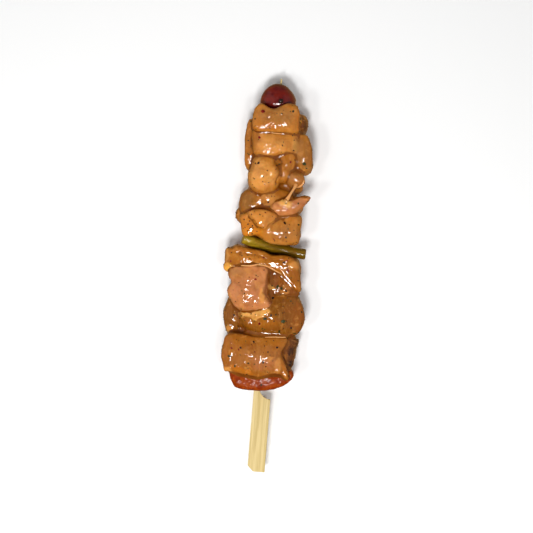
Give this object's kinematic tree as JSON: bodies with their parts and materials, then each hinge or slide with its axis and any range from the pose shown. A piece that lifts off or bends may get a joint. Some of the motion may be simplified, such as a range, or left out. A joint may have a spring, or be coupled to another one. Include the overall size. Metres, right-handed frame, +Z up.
{
  "type": "raw chicken kebab skewer",
  "caption": "Raw marinated chicken chunks with a cherry tomato, a green bean and a slice of red pepper threaded on a flat-handled bamboo skewer.",
  "frame": {"origin": "middle of the base of the whole object, on the surface that it lies on", "axes": "+Y along the skewer towards its point, +Z up, +X to the side that the handle stands out to"},
  "size_m": [0.0548, 0.254, 0.0415],
  "materials": {
    "chicken": "raw chicken in a wet golden brown marinade with herbs",
    "tomato_skin": "smooth wet dark red skin",
    "bean_skin": "oily olive green skin",
    "pepper_flesh": "wet red pepper, cut flesh and skin",
    "bamboo": "plain split bamboo with fine straight grain"
  },
  "bodies": {
    "root": {"skewer": "bamboo", "cherry_tomato": "tomato_skin", "chicken_1": "chicken", "chicken_2": "chicken", "chicken_3": "chicken", "chicken_4": "chicken", "chicken_5": "chicken", "green_bean": "bean_skin", "chicken_6": "chicken", "chicken_7": "chicken", "chicken_8": "chicken", "chicken_9": "chicken", "red_pepper": "pepper_flesh"}
  },
  "joints": []
}
